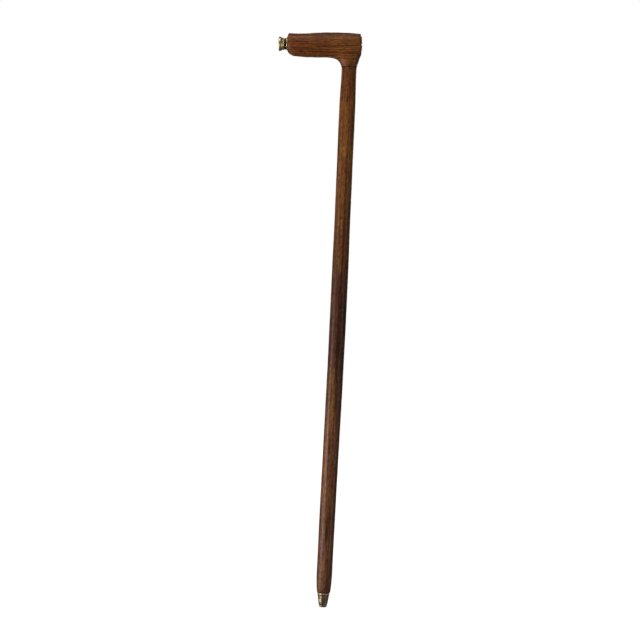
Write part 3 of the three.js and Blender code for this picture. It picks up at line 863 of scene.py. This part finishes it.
def dress_inner_nodes():
    """CAD nodes that stay as they are, inside the cane: each gets its finish."""
    finishes = {
        "neck_stud": steel,
        "friction_ring": pale_brass,
        "draw_end_ring": inner_brass,
        "erector_cell": inner_brass,
        "erector_front_lens": glass,
        "erector_back_lens": glass,
        "erector_spacer": blacking,
        "erector_ring": inner_brass,
    }
    for node, material in finishes.items():
        piece = frame["nodes"][node]
        piece.data.materials.clear()
        piece.data.materials.append(material)


# ----------------------------------------------------------------------------------------------------------
# Stage, light and camera, in metres.

VIEW_CENTRE = Vector((-0.0267, 0, 0.4557))
VIEW_WIDTH = 1.0182  # of what the camera sees at the cane
VIEW_DISTANCE = 3.0
VIEW_ROLL = DROOP + math.radians(0.064)
FLOOR_RADIUS = 40.0
FLOOR_DROP = 0.0005  # how far the floor lies under the tip, so that the two don't share a plane


def build_stage():
    """A wide floor, as white as the backdrop behind it, that casts no light or shadow on the cane."""
    mesh = bpy.data.meshes.new("floor")
    builder = bmesh.new()
    bmesh.ops.create_circle(builder, cap_ends=True, segments=96, radius=FLOOR_RADIUS)
    builder.to_mesh(mesh)
    builder.free()
    floor = add_object("floor", mesh)
    floor.location.z = -FLOOR_DROP
    f = Finish("pale_floor", CANE)
    mottle = f.noise(f.place((0.002, 0.002, 0.002)), 1.0, 3.0, 0.5)
    color = f.mix(mottle, (0.08, 0.08, 0.08, 1), (0.12, 0.12, 0.12, 1))
    f.set(Base_Color=color, Roughness=0.9, Specular_IOR_Level=0.0, Emission_Color=(1, 1, 1, 1),
          Emission_Strength=0.99)
    mesh.materials.append(f.material)
    floor.visible_diffuse = False
    floor.visible_glossy = False
    floor.visible_shadow = False


def light_world(color, strength):
    """Even soft light from all round, in front of a white backdrop."""
    world = bpy.data.worlds.new("studio")
    bpy.context.scene.world = world
    world.use_nodes = True
    nodes, links = world.node_tree.nodes, world.node_tree.links
    ambient = nodes["Background"]
    ambient.inputs[0].default_value = (*color, 1)
    ambient.inputs[1].default_value = strength
    backdrop = nodes.new("ShaderNodeBackground")
    backdrop.inputs[0].default_value = (1, 1, 1, 1)
    backdrop.inputs[1].default_value = 1.0
    path = nodes.new("ShaderNodeLightPath")
    mix = nodes.new("ShaderNodeMixShader")
    links.new(path.outputs["Is Camera Ray"], mix.inputs[0])
    links.new(ambient.outputs[0], mix.inputs[1])
    links.new(backdrop.outputs[0], mix.inputs[2])
    links.new(mix.outputs[0], nodes["World Output"].inputs[0])


def softbox(name, azimuth, height, distance, size, power, color, aim=0.5, shines=True):
    """A rectangular light aimed at a height on the cane's axis. azimuth is in degrees from the camera's side,
    positive to the right. A light that doesn't shine gives no highlight."""
    data = bpy.data.lights.new(name, "AREA")
    data.shape = "RECTANGLE"
    data.size, data.size_y = size
    data.energy = power
    data.color = color
    light = add_object(name, data)
    turn = math.radians(azimuth)
    light.visible_glossy = shines
    light.location = (distance * math.sin(turn), -distance * math.cos(turn), height)
    gaze = Vector((0, 0, aim)) - light.location
    light.rotation_euler = gaze.to_track_quat("-Z", "Y").to_euler()


def place_camera():
    """Level with the cane's middle and square to its side, rolled until the handle lies level."""
    data = bpy.data.cameras.new("camera")
    data.sensor_width = 36
    data.lens = data.sensor_width * VIEW_DISTANCE / VIEW_WIDTH
    camera = add_object("camera", data)
    right = Vector((math.cos(VIEW_ROLL), 0, math.sin(VIEW_ROLL)))
    up = Vector((-math.sin(VIEW_ROLL), 0, math.cos(VIEW_ROLL)))
    axes = Matrix((right, up, Vector((0, -1, 0)))).transposed().to_4x4()
    camera.matrix_world = Matrix.Translation(VIEW_CENTRE - Vector((0, VIEW_DISTANCE, 0))) @ axes
    bpy.context.scene.camera = camera
    bpy.context.scene.view_settings.view_transform = "Standard"


turn_shaft()
carve_handle()
turn_ferrule()
turn_tubes()
turn_objective()
turn_eyepiece()
dress_inner_nodes()

build_stage()
light_world((0.92, 0.96, 1.0), 0.13)

# Each light's azimuth in degrees, height, distance and size in metres, power in watts, and colour.
softbox("key_light", -66, -0.12, 2.4, (1.0, 0.9), 44, (1.0, 0.93, 0.88), aim=0.3)
softbox("front_light", -24, 1.0, 3.5, (2.0, 2.0), 62, (1.0, 0.98, 0.95), shines=False)
softbox("fill_light", 60, 0.2, 3.0, (0.6, 1.4), 12, (1.0, 0.95, 0.9))
softbox("top_light", -20, 2.9, 1.0, (1.6, 1.0), 25, (1.0, 0.93, 0.82))
softbox("back_light", 178, 1.0, 3.5, (2.0, 2.0), 70, (1.0, 0.94, 0.86))
softbox("right_light", 150, 0.7, 3.2, (1.0, 1.4), 30, (1.0, 0.97, 0.94), shines=False)
softbox("left_light", -150, 0.7, 3.2, (1.0, 1.4), 24, (1.0, 0.97, 0.94), shines=False)
place_camera()
